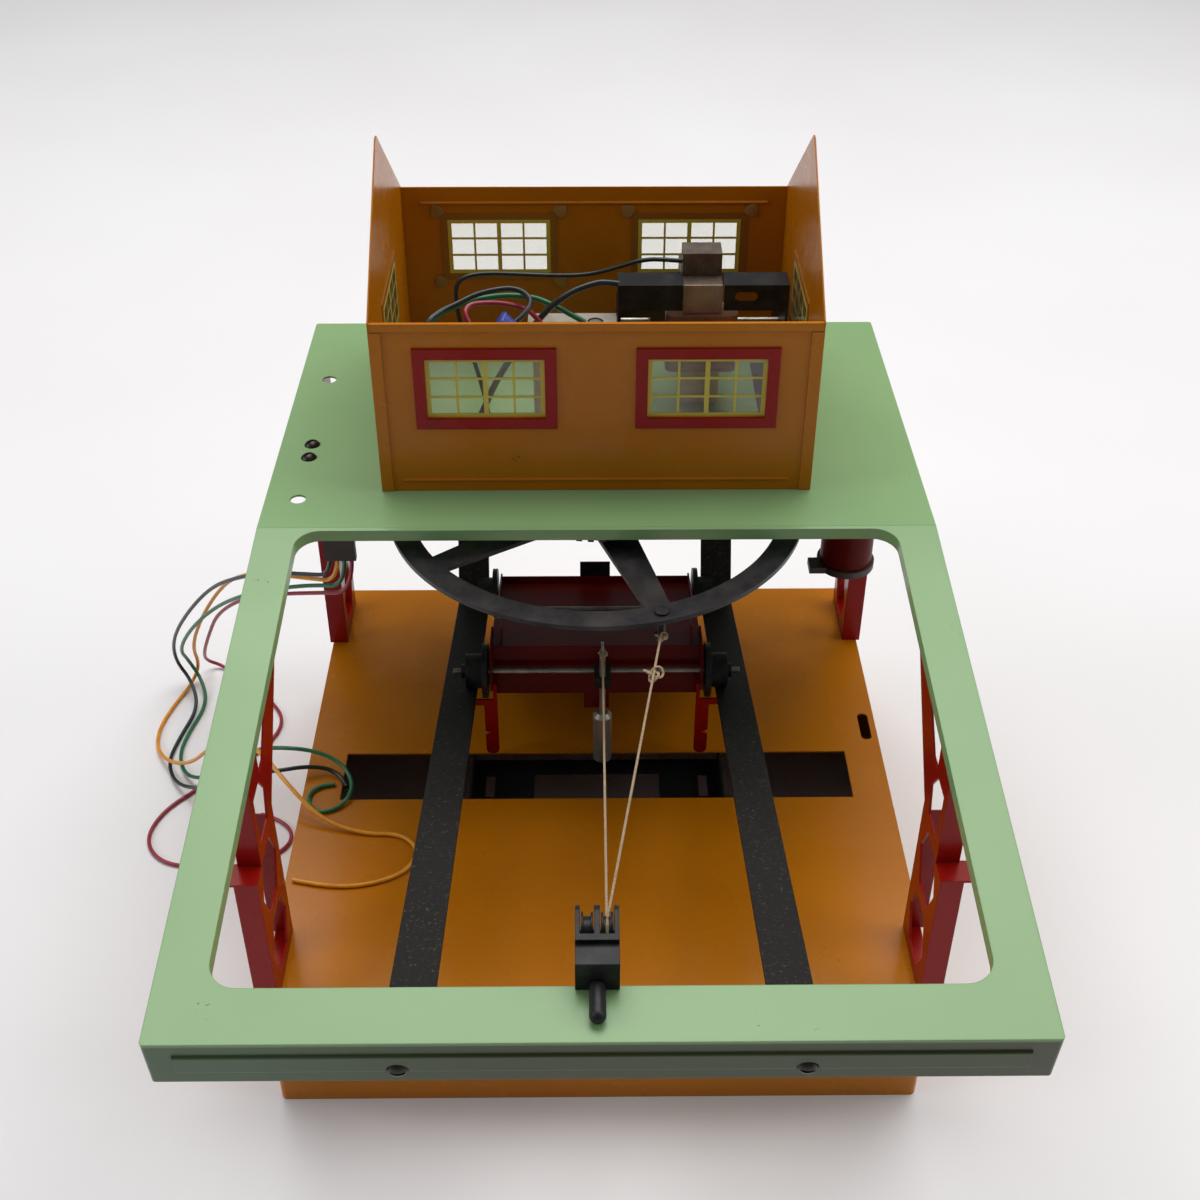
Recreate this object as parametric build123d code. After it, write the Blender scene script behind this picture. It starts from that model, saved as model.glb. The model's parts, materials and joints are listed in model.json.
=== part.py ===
from build123d import *
import math
import os

# Toy coal-loading tower crane in pressed tin. Millimetres, +Z up, the boom faces -Y.
# The origin is on the table, under the middle of the crane's box.

# ---------------------------------------------------------------- driving dimensions
DECK_W = 254.0          # deck and boom, over the side skirts
DECK_TOP = 194.0        # table to the flat rear deck
DECK_REAR_Y = 191.0
FOLD_Y = 24.5           # where the boom frame is folded down from the deck
FRONT_Y = -191.0        # front edge of the boom frame
BOOM_SLOPE = 6.5        # degrees that the boom frame falls towards the front
TIN = 0.8               # sheet of the deck, boom, base and legs
SKIRT = 19.0            # depth of the turned-down skirts
OPENING_X = 112.0       # half width of the boom's opening
FRONT_BEAM = 18.0
FOLD_STRIP = 2.0        # strip between the opening and the fold
OPENING_R = 9.0
LIP = 5.0               # rolled lip round the opening
BEAD_W, BEAD_OUT = 8.0, 0.8     # stamped bead along the front skirt
CORNER_R = 1.2          # outer corners of the skirts

BASE_W = 248.0
BASE_FRONT_Y = -86.5
BASE_REAR_Y = 165.5
BASE_H = 61.0
BASE_CORNER_R = 2.5
SLOT_W, SLOT_D, SLOT_Y = 216.0, 28.5, 31.5
SPY_X, SPY_Y, SPY_W, SPY_L = 119.0, 62.0, 4.6, 17.0

LEG_X = 118.0           # inner side panel of each leg
LEG_WEB = 7.5           # width of a leg's front and rear webs
FRONT_LEG_Y, FRONT_LEG_D = -89.0, 35.0
REAR_LEG_Y, REAR_LEG_D = 124.0, 32.0
TIER, TIER_BAND = 31.0, 5.0     # spacing of the lattice and height of its bands
LATTICE_EDGE = 4.5
STEP_SET = 9.0          # the front web is set back this far above the second band
STRUT_W = 13.0

RAIL_X, RAIL_W, RAIL_T = 57.2, 14.3, 1.6
RAIL_SLOPE = 13.3
RAIL_BEND_Y, RAIL_BEND_Z = 135.0, 77.2
SCREW_R, SCREW_HEAD_R, SCREW_HEAD_H = 1.6, 3.2, 1.9
SKIRT_SCREW_DROP = 13.0
REAR_SCREW_DROP = 9.5
REAR_SCREW_Z = DECK_TOP - REAR_SCREW_DROP

CABIN_W, CABIN_FRONT_Y, CABIN_REAR_Y = 165.3, 49.7, 176.0
CABIN_TIN, CABIN_H, GABLE_RISE = 0.6, 71.3, 45.0
WINDOW_W, WINDOW_H, WINDOW_X, WINDOW_Z = 44.0, 24.6, 41.0, 44.5
FRAME_W, FRAME_T = 4.4, 0.9
PANE_T, PANE_LAP = 0.3, 3.0

WHEEL_R, WHEEL_RIM, WHEEL_T = 82.0, 9.2, 2.0
WHEEL_Y, WHEEL_DROP = 60.5, 13.8
WHEEL_Z = DECK_TOP - WHEEL_DROP
WHEEL_HUB_R = 17.0
PIN_ANGLE, PIN_AT, PIN_R = -72.6, 77.0, 1.5
GEAR_R, PINION_R, GEAR_T, GEAR_DROP = 34.8, 11.6, 2.5, 8.0
GEAR_Z = DECK_TOP - GEAR_DROP
GEAR_TEETH, PINION_TEETH, WORM_WHEEL_TEETH = 48, 16, 24
MESH_GAP = 0.4          # between the tips of meshing teeth
COUNTER_Y = WHEEL_Y + GEAR_R + PINION_R + MESH_GAP
SHAFT_R, BUSH_R = 2.5, 4.0

MOTOR_X, MOTOR_Y, MOTOR_RISE = 43.0, 129.0, 32.0
MOTOR_Z = DECK_TOP + MOTOR_RISE
PLATE_RISE = 10.0       # motor axis to the underside of the motor plate
STACK_T = 15.7
ARMATURE_R, BORE_R = 11.0, 11.6
MOTOR_SHAFT_R = 1.6
WORM_R = 3.2
WORM_WHEEL_R = MOTOR_Y - COUNTER_Y - WORM_R - MESH_GAP

TREAD_R, FLANGE_R = 7.3, 11.4
TREAD_W, FLANGE_W = 7.0, 2.2
FLANGE_X = 45.3         # inner face of each trolley wheel
AXLE_R = 1.2
FRONT_AXLE_Y, WHEELBASE = 48.0, 83.0
TROLLEY_X = 44.3        # half width of the trolley's body

BLOCK_Y, BLOCK_W = -158.0, 12.6
SHEAVE_R, SHEAVE_W = 5.5, 3.4
STRING_R = 0.45
WIRE_R = 0.9

FIT = 0.05              # running fit of a shaft in its bore, on the radius
CLEAR = 0.35            # gap between pieces that move past each other

SLOPE = math.radians(BOOM_SLOPE)
FALL = math.radians(RAIL_SLOPE)
BOOM_L = (FOLD_Y - FRONT_Y) / math.cos(SLOPE)
DECK_UNDER = DECK_TOP - TIN

os.makedirs("parts", exist_ok=True)


# ---------------------------------------------------------------- helpers
def save(name, shape):
    shape.label = name
    export_step(shape, f"parts/{name}.step")


def block(x0, x1, y0, y1, z0, z1):
    return Pos((x0 + x1) / 2, (y0 + y1) / 2, (z0 + z1) / 2) * Box(x1 - x0, y1 - y0, z1 - z0)


def rod_x(radius, x0, x1, y, z):
    return Pos((x0 + x1) / 2, y, z) * Rot(0, 90, 0) * Cylinder(radius, x1 - x0)


def rod_y(radius, y0, y1, x, z):
    return Pos(x, (y0 + y1) / 2, z) * Rot(90, 0, 0) * Cylinder(radius, y1 - y0)


def rod_z(radius, z0, z1, x, y):
    return Pos(x, y, (z0 + z1) / 2) * Cylinder(radius, z1 - z0)


def plate_yz(points, x0, x1):
    """Flat plate in the YZ plane from its outline, between two X values."""
    face = make_face(Polyline([(x0, y, z) for y, z in points], close=True))
    return extrude(face, amount=x1 - x0, dir=(1, 0, 0))


def plate_xz(points, y0, y1):
    """Flat plate in the XZ plane from its outline, between two Y values."""
    face = make_face(Polyline([(x, y0, z) for x, z in points], close=True))
    return extrude(face, amount=y1 - y0, dir=(0, 1, 0))


def both_sides(shape):
    return [shape, mirror(shape, Plane.YZ)]


def screw(length):
    """Slotted round-head screw: the head stands on z = 0, the shank goes down."""
    ball = (SCREW_HEAD_R ** 2 + SCREW_HEAD_H ** 2) / (2 * SCREW_HEAD_H)
    head = Pos(0, 0, SCREW_HEAD_H - ball) * Sphere(ball)
    head &= Pos(0, 0, SCREW_HEAD_H / 2) * Box(8, 8, SCREW_HEAD_H)
    head -= Pos(0, 0, SCREW_HEAD_H) * Box(8, 0.9, 1.6)
    return head + Pos(0, 0, -length / 2) * Cylinder(SCREW_R, length)


def boom_z(y):
    """Height of the boom frame's top face."""
    return DECK_TOP - (FOLD_Y - y) * math.tan(SLOPE)


def rail_z(y):
    """Height of the rails' running face ahead of the bend."""
    return RAIL_BEND_Z + (RAIL_BEND_Y - y) * math.tan(FALL)


def on_boom(shape):
    """From the boom's flat pattern, with its fold at y = 0, to its folded place."""
    return Pos(0, FOLD_Y, DECK_TOP) * Rot(BOOM_SLOPE, 0, 0) * shape


AXLE_Z = rail_z(FRONT_AXLE_Y - TREAD_R * math.sin(FALL)) + TREAD_R * math.cos(FALL)


def on_trolley(shape):
    """From trolley axes, with the front axle at 0 and the rails along y, to its rest place."""
    return Pos(0, FRONT_AXLE_Y, AXLE_Z) * Rot(-RAIL_SLOPE, 0, 0) * shape


# ---------------------------------------------------------------- base
def base_box():
    mid_y = (BASE_FRONT_Y + BASE_REAR_Y) / 2
    depth = BASE_REAR_Y - BASE_FRONT_Y
    plan = RectangleRounded(BASE_W, depth, BASE_CORNER_R)
    inner = RectangleRounded(BASE_W - 2 * TIN, depth - 2 * TIN, BASE_CORNER_R - TIN)
    shell = Pos(0, mid_y, 0) * (extrude(plan, BASE_H) - extrude(inner, BASE_H - TIN))
    shell -= Pos(0, SLOT_Y, BASE_H) * Box(SLOT_W, SLOT_D, 4)
    worn = extrude(RectangleRounded(SPY_W, SPY_L, 2.0), 2, both=True)
    return shell - Pos(SPY_X, SPY_Y, BASE_H) * worn


BRIDGE_X, BRIDGE_DEEP, BRIDGE_T = 54.0, 10.0, 1.0


def slot_bracket():
    """Black bridge under the slot, hung by its end walls from the base's top."""
    top = BASE_H - TIN
    y0, y1 = SLOT_Y - SLOT_D / 2 - 6, SLOT_Y + SLOT_D / 2 + 6
    shape = block(-BRIDGE_X, BRIDGE_X, y0, y1, top - BRIDGE_DEEP, top - BRIDGE_DEEP + BRIDGE_T)
    shape -= block(-27, 27, SLOT_Y - 4, SLOT_Y + 12, top - BRIDGE_DEEP - 1, top)
    for side in (-1, 1):
        shape -= Pos(side * 46, SLOT_Y + 4, top - BRIDGE_DEEP) * Box(4, 14, 4)
        x = side * (BRIDGE_X - BRIDGE_T / 2)
        half = BRIDGE_T / 2
        shape += block(x - half, x + half, y0, y1, top - BRIDGE_DEEP, top)
    return shape


# ---------------------------------------------------------------- deck and boom
DECK_HOLES = (138.2, 44.0)
DECK_SCREWS = (84.2, 74.3)
DECK_HOLE_X = -114.4


def tray(y0, y1, open_front):
    """Sheet with turned-down side skirts and one end skirt, its top face on z = 0."""
    half = DECK_W / 2
    whole = block(-half, half, y0, y1, -SKIRT, 0)
    end = -1 if open_front else 0
    whole = fillet(whole.edges().filter_by(Axis.Z).group_by(Axis.Y)[end], CORNER_R)
    front = y0 - 1 if open_front else y0 + TIN
    rear = y1 - TIN if open_front else y1 + 1
    hollow = block(-half + TIN, half - TIN, front, rear, -SKIRT - 1, -TIN)
    return whole - hollow


def deck():
    shape = Pos(0, 0, DECK_TOP) * tray(FOLD_Y, DECK_REAR_Y, open_front=True)
    for y in DECK_HOLES:
        shape -= rod_z(3.0, DECK_TOP - 3, DECK_TOP + 1, DECK_HOLE_X, y)
    for y in DECK_SCREWS:
        shape -= rod_z(SCREW_R + FIT, DECK_TOP - 3, DECK_TOP + 1, DECK_HOLE_X, y)
    for y in (WHEEL_Y, COUNTER_Y):
        shape -= rod_z(BUSH_R + FIT, DECK_TOP - 3, DECK_TOP + 1, 0, y)
    for side in (-1, 1):
        shape -= rod_y(SCREW_R + FIT, DECK_REAR_Y - 3, DECK_REAR_Y + 1, side * RAIL_X, REAR_SCREW_Z)
    return shape


def boom_frame():
    shape = tray(-BOOM_L, 4, open_front=False)
    y0, y1 = -BOOM_L + FRONT_BEAM, -FOLD_STRIP
    outline = RectangleRounded(2 * OPENING_X, y1 - y0, OPENING_R)
    collar = RectangleRounded(2 * (OPENING_X + TIN), y1 - y0 + 2 * TIN, OPENING_R + TIN)
    middle = Pos(0, (y0 + y1) / 2, 0)
    shape += middle * extrude(collar, -LIP)
    shape -= middle * extrude(outline, SKIRT, both=True)
    bead = Pos(0, -BOOM_L, -SKIRT / 2) * Box(DECK_W - 16, 2 * BEAD_OUT, BEAD_W)
    shape += fillet(bead.edges().filter_by(Axis.X), BEAD_OUT - 0.05)
    for side in (-1, 1):
        shape -= rod_y(SCREW_R + FIT, -BOOM_L - 2, -BOOM_L + 3, side * RAIL_X, -SKIRT_SCREW_DROP)
        seat = rod_y(SCREW_HEAD_R + 0.3, -BOOM_L - 2, -BOOM_L, side * RAIL_X, -SKIRT_SCREW_DROP)
        shape -= seat
    return on_boom(shape) - block(-DECK_W, DECK_W, FOLD_Y, FOLD_Y + 20, 100, 250)


# ---------------------------------------------------------------- legs
def lattice(y0, depth, z_top):
    """Hexagonal openings of a leg's side panel, one in each tier, as cutters."""
    middle = y0 + depth / 2
    half = depth / 2 - LATTICE_EDGE
    cutters = []
    z = BASE_H + TIER_BAND
    while z + TIER - TIER_BAND <= z_top:
        high = z + TIER - TIER_BAND
        centre = (z + high) / 2
        outline = [
            (middle - half / 2, z), (middle + half / 2, z), (middle + half, centre),
            (middle + half / 2, high), (middle - half / 2, high), (middle - half, centre),
        ]
        cutters.append(plate_yz(outline, LEG_X - 3, LEG_X + 3))
        z += TIER
    return cutters


def web(y, z0, z1):
    """Strip that faces front, folded outwards from the side panel."""
    return block(LEG_X, LEG_X + LEG_WEB, y, y + TIN, z0, z1)


def front_leg():
    y0, y1 = FRONT_LEG_Y, FRONT_LEG_Y + FRONT_LEG_D
    step = BASE_H + 2 * TIER
    strut_y = y1 + (DECK_UNDER - step) * 0.86
    back_y = y0 + STEP_SET

    def under(y):
        return boom_z(y) - TIN / math.cos(SLOPE)

    outline = [
        (y0, BASE_H), (y1, BASE_H), (y1, step + 5), (strut_y, under(strut_y)),
        (strut_y - STRUT_W * 1.4, under(strut_y - STRUT_W * 1.4)), (y1 - 2, step + 28),
        (y1 - 9, step + 28), (y1 - 9, under(y1 - 9)), (back_y, under(back_y)), (back_y, step), (y0, step),
    ]
    shape = plate_yz(outline, LEG_X - TIN, LEG_X)
    for cutter in lattice(y0, FRONT_LEG_D, step):
        shape -= cutter
    window = [(y0 + 13, step + 6), (y1 - 8, step + 6), (y1 - 5, step + 17), (y1 - 12, step + 27), (y0 + 13, step + 27)]
    shape -= plate_yz(window, LEG_X - 3, LEG_X + 3)
    shape += web(y0, BASE_H, step)
    shape += web(y1 - TIN, BASE_H, step)
    shape += web(back_y, step, under(back_y))
    shape += block(LEG_X, LEG_X + LEG_WEB + 5, y0, back_y + TIN, step - TIN, step)
    shape += block(LEG_X, LEG_X + 5.5, BASE_FRONT_Y + 3, y1, BASE_H, BASE_H + TIN)
    foot = block(LEG_X - TIN, LEG_X + 5.0, BASE_FRONT_Y - TIN, BASE_FRONT_Y, BASE_H - 9, BASE_H)
    bridge = block(LEG_X - TIN, LEG_X + 5.0, y0, BASE_FRONT_Y, BASE_H, BASE_H + TIN)
    return shape + foot + bridge


def rear_leg():
    y0, y1 = REAR_LEG_Y, REAR_LEG_Y + REAR_LEG_D
    outline = [(y0, BASE_H), (y1, BASE_H), (y1, DECK_UNDER), (y0, DECK_UNDER)]
    shape = plate_yz(outline, LEG_X - TIN, LEG_X)
    for cutter in lattice(y0, REAR_LEG_D, DECK_UNDER):
        shape -= cutter
    shape += web(y0, BASE_H, DECK_UNDER)
    shape += web(y1 - TIN, BASE_H, DECK_UNDER)
    shape += block(LEG_X, LEG_X + 5.5, y0, y1, BASE_H, BASE_H + TIN)
    return shape + block(LEG_X, LEG_X + LEG_WEB, y0, y1, DECK_UNDER - TIN, DECK_UNDER)


# ---------------------------------------------------------------- rails and screws
def rail_points():
    """Middle line of a rail: front tab, running slope, rise and rear tab."""
    inset = TIN + RAIL_T / 2
    mid = RAIL_T / 2 / math.cos(FALL)
    # along the front skirt: y = FRONT_Y + drop*sin + inset*cos, z = boom_z - drop*cos + inset*sin
    y_line = FRONT_Y + inset * math.cos(SLOPE)
    z_line = boom_z(FRONT_Y) + inset * math.sin(SLOPE)
    gap = z_line - (rail_z(y_line) - mid)
    drop = gap / (math.cos(SLOPE) - math.sin(SLOPE) * math.tan(FALL))

    def skirt(d):
        return (y_line + d * math.sin(SLOPE), z_line - d * math.cos(SLOPE))

    rear_y = DECK_REAR_Y - TIN - RAIL_T / 2
    bend = (RAIL_BEND_Y, RAIL_BEND_Z - mid)
    return [skirt(5.0), skirt(drop), bend, (rear_y, DECK_TOP - SKIRT + 1.5), (rear_y, DECK_UNDER - 3)]


def rail():
    points = [(RAIL_X, y, z) for y, z in rail_points()]
    path = FilletPolyline(*points, radius=[1.4, 5.0, 4.0])
    start = Vector(*points[0])
    along = Vector(*points[1]) - start
    section = Plane(origin=start, x_dir=(1, 0, 0), z_dir=along) * Rectangle(RAIL_W, RAIL_T)
    shape = sweep(section, path=path)
    front = on_boom(rod_y(SCREW_R + FIT, -BOOM_L - 2, -BOOM_L + 6, RAIL_X, -SKIRT_SCREW_DROP))
    rear = rod_y(SCREW_R + FIT, DECK_REAR_Y - 6, DECK_REAR_Y + 1, RAIL_X, REAR_SCREW_Z)
    return shape - front - rear


def screws():
    """Four rail screws in the end skirts and two in the deck's left margin, all alike."""
    front = on_boom(Pos(RAIL_X, -BOOM_L, -SKIRT_SCREW_DROP) * Rot(90, 0, 0) * screw(5.0))
    rear = Pos(RAIL_X, DECK_REAR_Y, REAR_SCREW_Z) * Rot(-90, 0, 0) * screw(5.0)
    left = [Pos(DECK_HOLE_X, y, DECK_TOP) * Rot(0, 0, 40) * screw(5.0) for y in DECK_SCREWS]
    return Compound(both_sides(front) + both_sides(rear) + left)


# ---------------------------------------------------------------- cabin
def window_boxes(y0, y1, grow=0.0):
    """The front or back wall's two window openings, grown by a margin."""
    half_w, half_h = WINDOW_W / 2 + grow, WINDOW_H / 2 + grow
    z = DECK_TOP + WINDOW_Z
    return [block(side * WINDOW_X - half_w, side * WINDOW_X + half_w, y0, y1, z - half_h, z + half_h)
            for side in (-1, 1)]


def gable_box(x0, x1, grow=0.0):
    half_w, half_h = WINDOW_W / 2 + grow, WINDOW_H / 2 + grow
    y, z = (CABIN_FRONT_Y + CABIN_REAR_Y) / 2, DECK_TOP + WINDOW_Z
    return block(x0, x1, y - half_w, y + half_w, z - half_h, z + half_h)


def long_wall(y, bead_z, bead_out):
    """Front or back wall with its rolled top rim and stamped bead."""
    half = CABIN_W / 2 - CABIN_TIN
    shape = block(-half, half, y, y + CABIN_TIN, DECK_TOP, DECK_TOP + CABIN_H)
    for opening in window_boxes(y - 2, y + 2):
        shape -= opening
    edge = y if bead_out < 0 else y + CABIN_TIN
    shape += rod_x(0.7, -half + 8, half - 8, edge, DECK_TOP + bead_z)
    return shape


def front_wall():
    shape = long_wall(CABIN_FRONT_Y, 5.0, -1)
    top = DECK_TOP + CABIN_H
    half = CABIN_W / 2 - CABIN_TIN
    return shape + block(-half, half, CABIN_FRONT_Y - 1.0, CABIN_FRONT_Y, top - 3.2, top)


def gable_wall():
    """Right gable with corner flanges folded on to the outside of the long walls."""
    x1 = CABIN_W / 2
    x0 = x1 - CABIN_TIN
    top, peak = DECK_TOP + CABIN_H, DECK_TOP + CABIN_H + GABLE_RISE
    middle = (CABIN_FRONT_Y + CABIN_REAR_Y) / 2
    outline = [
        (CABIN_FRONT_Y - CABIN_TIN, DECK_TOP), (CABIN_REAR_Y + CABIN_TIN, DECK_TOP),
        (CABIN_REAR_Y + CABIN_TIN, top), (middle + 1.5, peak), (middle - 1.5, peak), (CABIN_FRONT_Y - CABIN_TIN, top),
    ]
    shape = plate_yz(outline, x0, x1)
    shape -= gable_box(x0 - 2, x1 + 2)
    for y0 in (CABIN_FRONT_Y - CABIN_TIN, CABIN_REAR_Y):
        shape += block(x0 - 4.0, x0, y0, y0 + CABIN_TIN, DECK_TOP, top - 3.6)
    return shape


def window_frames():
    """Six pressed red frames, one round each window, outside the walls."""
    frames = []
    for y0, y1 in ((CABIN_FRONT_Y - FRAME_T, CABIN_FRONT_Y), (CABIN_REAR_Y, CABIN_REAR_Y + FRAME_T)):
        outer = window_boxes(y0, y1, FRAME_W)
        inner = window_boxes(y0 - 1, y1 + 1)
        frames += [a - b for a, b in zip(outer, inner)]
    x0, x1 = CABIN_W / 2, CABIN_W / 2 + FRAME_T
    frames += both_sides(gable_box(x0, x1, FRAME_W) - gable_box(x0 - 1, x1 + 1))
    return Compound(frames)


def window_panes():
    """Six clear sheets glued inside the walls."""
    y0 = CABIN_FRONT_Y + CABIN_TIN
    panes = window_boxes(y0, y0 + PANE_T, PANE_LAP)
    y1 = CABIN_REAR_Y
    panes += window_boxes(y1 - CABIN_TIN - PANE_T, y1 - CABIN_TIN, PANE_LAP)
    x1 = CABIN_W / 2 - CABIN_TIN
    return Compound(panes + both_sides(gable_box(x1 - PANE_T, x1, PANE_LAP)))


def back_wall():
    """The back wall stands with its outer face on CABIN_REAR_Y; its bead is inside."""
    shape = long_wall(CABIN_REAR_Y - CABIN_TIN, CABIN_H - 7.0, 1)
    half = CABIN_W / 2 - CABIN_TIN
    y = CABIN_REAR_Y - CABIN_TIN
    inner = rod_x(0.7, -half + 8, half - 8, y, DECK_TOP + CABIN_H - 7.0)
    return shape + inner


# ---------------------------------------------------------------- drive
def drive_wheel():
    """Flat stamped wheel: rim, five tapered spokes and a hub plate."""
    shape = Cylinder(WHEEL_R, WHEEL_T) - Cylinder(WHEEL_R - WHEEL_RIM, 2 * WHEEL_T)
    shape += Cylinder(WHEEL_HUB_R, WHEEL_T)
    reach = WHEEL_R - WHEEL_RIM / 2
    for k in range(5):
        spoke = Polyline([(10, -8), (reach, -4.4), (reach, 4.4), (10, 8)], close=True)
        blank = Pos(0, 0, -WHEEL_T / 2) * extrude(make_face(spoke), WHEEL_T)
        shape += Rot(0, 0, PIN_ANGLE + 72 * k) * blank
    shape -= Cylinder(SHAFT_R, 3 * WHEEL_T)
    pin = Pos(*polar(PIN_AT), 0) * Cylinder(PIN_R, 3 * WHEEL_T)
    return Pos(0, WHEEL_Y, WHEEL_Z + WHEEL_T / 2) * (shape - pin)


def polar(distance):
    angle = math.radians(PIN_ANGLE)
    return distance * math.cos(angle), distance * math.sin(angle)


PIN_XY = (polar(PIN_AT)[0], WHEEL_Y + polar(PIN_AT)[1])
PIN_LOW = WHEEL_Z - 8.0


def crank_pin():
    """Headed post riveted down through the rim; the string is tied to it."""
    x, y = PIN_XY
    shape = rod_z(PIN_R, PIN_LOW, WHEEL_Z + WHEEL_T, x, y)
    shape += rod_z(PIN_R + 1.2, WHEEL_Z + WHEEL_T, WHEEL_Z + WHEEL_T + 0.8, x, y)
    return shape + rod_z(PIN_R + 1.0, PIN_LOW - 0.8, PIN_LOW, x, y)


def toothed(radius, teeth, thick):
    """Spur blank with square-cut teeth, 1.2 mm deep."""
    shape = Cylinder(radius, thick)
    cutter = Pos(radius, 0, 0) * Box(2.4, math.pi * radius / teeth, 2 * thick)
    cutters = [Rot(0, 0, 360 * k / teeth) * cutter for k in range(teeth)]
    return shape - cutters


def drive_gear():
    shape = toothed(GEAR_R, GEAR_TEETH, GEAR_T) - Cylinder(SHAFT_R, 3 * GEAR_T)
    return Pos(0, WHEEL_Y, GEAR_Z + GEAR_T / 2) * shape


def drive_shaft():
    shape = rod_z(SHAFT_R, WHEEL_Z - 2.5, DECK_TOP + 8, 0, WHEEL_Y)
    shape += rod_z(SHAFT_R + 2.5, WHEEL_Z - 3.5, WHEEL_Z, 0, WHEEL_Y)
    shape += rod_z(SHAFT_R + 2.0, WHEEL_Z + WHEEL_T, GEAR_Z, 0, WHEEL_Y)
    return shape + rod_z(SHAFT_R + 1.5, DECK_TOP + 4.5, DECK_TOP + 6.5, 0, WHEEL_Y)


def shaft_bushes():
    bushes = []
    for y in (WHEEL_Y, COUNTER_Y):
        bush = rod_z(BUSH_R, DECK_UNDER - 1.5, DECK_TOP + 4, 0, y)
        bush += rod_z(BUSH_R + 2, DECK_TOP, DECK_TOP + 1, 0, y)
        bushes.append(bush - rod_z(SHAFT_R + FIT, DECK_UNDER - 4, DECK_TOP + 6, 0, y))
    return Compound(bushes)


def countershaft():
    shape = rod_z(SHAFT_R, GEAR_Z - 1.5, MOTOR_Z + PLATE_RISE + 0.6, 0, COUNTER_Y)
    return shape + rod_z(SHAFT_R + 1.5, DECK_TOP + 4.4, DECK_TOP + 6.4, 0, COUNTER_Y)


def counter_pinion():
    shape = toothed(PINION_R, PINION_TEETH, GEAR_T) - Cylinder(SHAFT_R, 3 * GEAR_T)
    return Pos(0, COUNTER_Y, GEAR_Z + GEAR_T / 2) * shape


def worm_wheel():
    shape = toothed(WORM_WHEEL_R, WORM_WHEEL_TEETH, 4.0) - Cylinder(SHAFT_R, 12)
    return Pos(0, COUNTER_Y, MOTOR_Z) * shape


# ---------------------------------------------------------------- motor
BRACKET_X = (9.0, 77.0)
BRACKET_TOP = MOTOR_Z + 26.0
MOTOR_FRONT, MOTOR_BACK = MOTOR_Y - 17.0, MOTOR_Y + 21.0
CORE_X0, CORE_X1 = MOTOR_X - STACK_T / 2, MOTOR_X + STACK_T / 2


def motor_core():
    """Stack of iron stampings with the armature's bore and a stepped top."""
    foot, rear, step, top = DECK_TOP + 3, MOTOR_Z + 20, MOTOR_Z + 24, MOTOR_Z + 33.5
    outline = [(MOTOR_FRONT, foot), (MOTOR_BACK, foot), (MOTOR_BACK, rear), (MOTOR_Y + 3, rear)]
    outline += [(MOTOR_Y + 3, top), (MOTOR_FRONT + 9, top), (MOTOR_FRONT + 9, step), (MOTOR_FRONT, step)]
    shape = plate_yz(outline, CORE_X0, CORE_X1)
    shape -= rod_x(BORE_R, CORE_X0 - 1, CORE_X1 + 1, MOTOR_Y, MOTOR_Z)
    shape -= block(CORE_X0 - 1, CORE_X1 + 1, MOTOR_Y - 11, MOTOR_Y - 7, MOTOR_Z - 14, MOTOR_Z + 13)
    return shape


def motor_coil():
    """Field winding round the core's front limb."""
    shape = block(CORE_X0 - 6.5, CORE_X1 + 6.5, MOTOR_Y - 20, MOTOR_Y - 7.4, MOTOR_Z - 13, MOTOR_Z + 12)
    shape = fillet(shape.edges().filter_by(Axis.Z), 3.0)
    limb = block(CORE_X0, CORE_X1, MOTOR_FRONT, MOTOR_Y - 11, MOTOR_Z - 21, MOTOR_Z + 19)
    return shape - limb - rod_x(BORE_R + 0.4, 0, 90, MOTOR_Y, MOTOR_Z)


def motor_bracket(x, inward):
    """Black end plate: standing side, folded shelf towards the core and a foot."""
    far = x + inward * 1.2
    x0, x1 = min(x, far), max(x, far)
    front = MOTOR_FRONT - 4
    side = [(front, DECK_TOP), (MOTOR_BACK, DECK_TOP), (MOTOR_BACK, MOTOR_Z - 6)]
    side += [(MOTOR_Y + 7, MOTOR_Z + 10), (front + 12, MOTOR_Z + 14)]
    side += [(front + 12, BRACKET_TOP), (front, BRACKET_TOP)]
    shape = plate_yz(side, x0, x1)
    edge = CORE_X0 - 0.3 if inward > 0 else CORE_X1 + 0.3
    a, b = min(x, edge), max(x, edge)
    shape += block(a, b, front, front + 0.8, BRACKET_TOP - 11, BRACKET_TOP)
    shape += block(a, b, front, front + 12, BRACKET_TOP - 1, BRACKET_TOP)
    foot = sorted((x, x + inward * 9))
    shape += block(*foot, front, MOTOR_BACK, DECK_TOP, DECK_TOP + 1.2)
    shape -= rod_x(MOTOR_SHAFT_R + FIT, x0 - 1, x1 + 1, MOTOR_Y, MOTOR_Z)
    if inward < 0:
        slot = Pos(MOTOR_X + 17, front, BRACKET_TOP - 5) * Rot(90, 0, 0) * extrude(SlotOverall(9, 4), 3, both=True)
        shape -= slot
    return shape - rod_z(WORM_WHEEL_R + 0.8, MOTOR_Z - 3, MOTOR_Z + 3, 0, COUNTER_Y)


def armature():
    """Wound rotor and commutator on the motor shaft."""
    shape = rod_x(ARMATURE_R, CORE_X0, CORE_X1, MOTOR_Y, MOTOR_Z)
    shape += rod_x(7.5, CORE_X0 - 4, CORE_X1 + 4, MOTOR_Y, MOTOR_Z)
    shape += rod_x(5.0, CORE_X0 - 13, CORE_X0 - 4, MOTOR_Y, MOTOR_Z)
    return shape - rod_x(MOTOR_SHAFT_R, 0, 90, MOTOR_Y, MOTOR_Z)


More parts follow.
